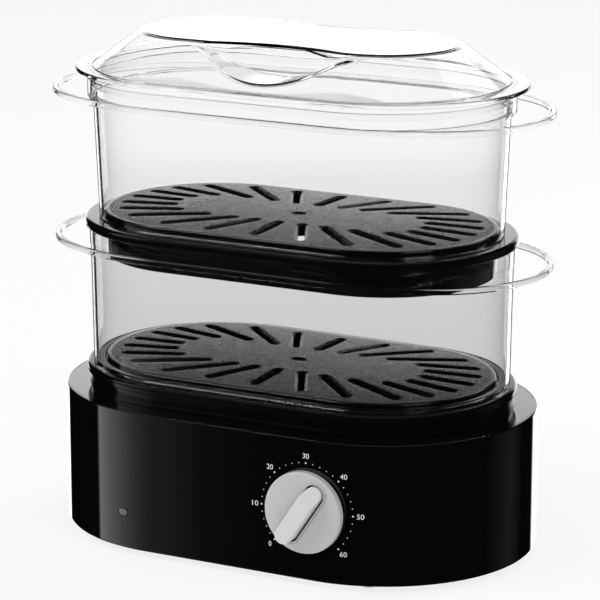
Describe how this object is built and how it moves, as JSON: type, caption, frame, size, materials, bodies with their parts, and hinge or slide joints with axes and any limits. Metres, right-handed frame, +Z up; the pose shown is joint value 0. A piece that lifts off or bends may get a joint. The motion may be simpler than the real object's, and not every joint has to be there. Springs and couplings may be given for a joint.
{
  "type": "electric food steamer",
  "caption": "Electric food steamer: a water-tank base with a timer knob, stacked clear oval baskets on slotted floors, and a clear lid with a moulded grip.",
  "frame": {"origin": "centre of the oval base on the plane that the feet stand on", "axes": "+Z up, -Y the front with the timer knob, +X to the right seen from the front, along the ovals"},
  "size_m": [0.352, 0.222, 0.3392],
  "materials": {
    "housing": "high gloss black",
    "tray": "glossy black",
    "tank": "glossy black",
    "black_plastic": "fine matt black",
    "clear_plastic": "clear glossy",
    "knob_silver": "satin silver",
    "knob_bar": "brushed",
    "bright_trim": "polished",
    "steel": "bright zinc",
    "brass": "plain",
    "cast_metal": "as cast",
    "silicone": "matt grey silicone",
    "rubber": "matt black rubber",
    "timer_plastic": "plain white",
    "lens": "clear, unlit",
    "lamp_glass": "clear glass"
  },
  "bodies": {
    "base": {"housing_shell": "housing", "deck_plate": "housing", "water_tank": "tank", "heater_gasket": "silicone", "heater_plate": "cast_metal", "heating_element": "steel", "heater_screws": "steel", "thermostat": "steel", "thermal_fuse": "steel", "steam_ring": "black_plastic", "timer_case": "timer_plastic", "timer_bell": "brass", "timer_screws": "steel", "indicator_lens": "lens", "lamp_holder": "timer_plastic", "indicator_lamp": "lamp_glass", "bottom_cover": "black_plastic", "cover_screws": "steel", "feet": "rubber", "terminal_block": "timer_plastic", "cord_gland": "rubber", "cord_clamp": "black_plastic", "clamp_screws": "steel"},
    "knob": {"timer_shaft": "steel", "timer_knob": "knob_silver", "knob_trim": "bright_trim", "knob_grip": "knob_bar"},
    "tray": {"drip_tray": "tray"},
    "lower_grate": {"lower_floor": "tray"},
    "lower_bowl": {"lower_basket": "clear_plastic", "lower_handles": "clear_plastic"},
    "upper_grate": {"upper_floor": "tray"},
    "upper_bowl": {"upper_basket": "clear_plastic", "upper_handles": "clear_plastic"},
    "cover": {"lid": "clear_plastic"}
  },
  "joints": [
    {"name": "timer_turn", "type": "hinge", "parent": "base", "child": "knob", "pos_m": [0.058, -0.102, 0.051], "axis": [0, 1, 0], "range_deg": [0, 270]},
    {"name": "tray_lift", "type": "slide", "parent": "base", "child": "tray", "axis": [0, 0, 1], "range_m": [0, 0.06]},
    {"name": "lower_floor_lift", "type": "slide", "parent": "tray", "child": "lower_grate", "axis": [0, 0, 1], "range_m": [0, 0.06]},
    {"name": "lower_basket_lift", "type": "slide", "parent": "lower_grate", "child": "lower_bowl", "axis": [0, 0, 1], "range_m": [0, 0.06]},
    {"name": "upper_floor_lift", "type": "slide", "parent": "lower_bowl", "child": "upper_grate", "axis": [0, 0, 1], "range_m": [0, 0.06]},
    {"name": "upper_basket_lift", "type": "slide", "parent": "upper_grate", "child": "upper_bowl", "axis": [0, 0, 1], "range_m": [0, 0.06]},
    {"name": "lid_lift", "type": "slide", "parent": "upper_bowl", "child": "cover", "axis": [0, 0, 1], "range_m": [0, 0.06]}
  ]
}
